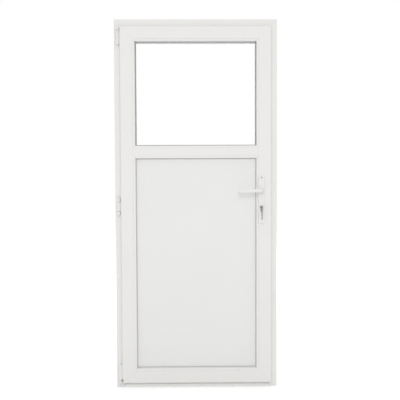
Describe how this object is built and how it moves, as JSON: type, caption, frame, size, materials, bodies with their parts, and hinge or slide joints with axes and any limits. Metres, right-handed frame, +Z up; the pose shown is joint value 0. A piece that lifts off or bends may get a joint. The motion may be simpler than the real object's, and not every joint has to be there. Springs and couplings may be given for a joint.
{
  "type": "half-glazed plastic door in its frame",
  "caption": "Hinged service door of white plastic bars with a clear pane above a flat panel, in its frame with a low threshold, lever handles on long plates and keys in the lock",
  "frame": {"origin": "centre of the underside of the threshold", "axes": "+X along the wall from the hinges to the lock, +Y from the room to the outside, +Z up"},
  "size_m": [0.9, 0.194, 2.05],
  "materials": {
    "white_profile": "smooth extruded plastic, soft gloss",
    "white_panel": "flat sheet, soft gloss",
    "white_handle": "powder coat on die-cast alloy",
    "white_hinge": "powder coat on steel",
    "grey_seal": "matte",
    "brush_hair": "close bristle",
    "clear_glass": "clear float",
    "spacer_metal": "mill",
    "white_threshold": "powder coat on aluminium",
    "lock_steel": "brushed",
    "lock_nickel": "nickel plate",
    "key_metal": "nickel plate, dull"
  },
  "bodies": {
    "frame": {"frame_head": "white_profile", "hinge_jamb": "white_profile", "lock_jamb": "white_profile", "threshold": "white_threshold", "frame_seal": "grey_seal", "main_keep": "lock_steel", "roller_keeps": "lock_steel", "top_hinge_frame": "white_hinge", "middle_hinge_frame": "white_hinge", "bottom_hinge_frame": "white_hinge"},
    "leaf": {"hinge_stile": "white_profile", "lock_stile": "white_profile", "top_rail": "white_profile", "bottom_rail": "white_profile", "mid_rail": "white_profile", "rail_filler": "white_profile", "threshold_brush": "brush_hair", "leaf_seal": "grey_seal", "drip_bar": "white_profile", "glass_beads": "white_profile", "glass_room_seal": "grey_seal", "glass_street_seal": "grey_seal", "panel_beads": "white_profile", "panel_room_seal": "grey_seal", "panel_street_seal": "grey_seal", "room_pane": "clear_glass", "street_pane": "clear_glass", "pane_spacer": "spacer_metal", "infill_panel": "white_panel", "lock_cylinder": "lock_nickel", "lock_faceplate": "lock_steel", "latch": "lock_steel", "dead_bolt": "lock_steel", "rollers": "lock_steel", "room_backplate": "white_handle", "street_backplate": "white_handle", "top_hinge_leaf": "white_hinge", "middle_hinge_leaf": "white_hinge", "bottom_hinge_leaf": "white_hinge"},
    "handle": {"room_lever": "white_handle", "street_lever": "white_handle", "spindle": "lock_steel"},
    "key": {"cylinder_plug": "lock_nickel", "lock_key": "key_metal"},
    "spare": {"key_ring": "key_metal", "spare_key": "key_metal"}
  },
  "joints": [
    {"name": "door_swing", "type": "hinge", "parent": "frame", "child": "leaf", "pos_m": [-0.43, -0.046, 1], "axis": [0, 0, -1], "range_deg": [0, 110]},
    {"name": "handle_turn", "type": "hinge", "parent": "leaf", "child": "handle", "pos_m": [0.362, -0.02, 1.105], "axis": [0, -1, 0], "range_deg": [-45, 35], "stiffness_Nm_per_rad": 4},
    {"name": "key_turn", "type": "hinge", "parent": "leaf", "child": "key", "pos_m": [0.362, -0.068, 1.013], "axis": [0, -1, 0], "range_deg": [0, 360]},
    {"name": "spare_key_swing", "type": "hinge", "parent": "key", "child": "spare", "pos_m": [0.362, -0.0853, 1.0111], "axis": [-0.9903, -0.1392, 0], "range_deg": [-10, 60]}
  ]
}
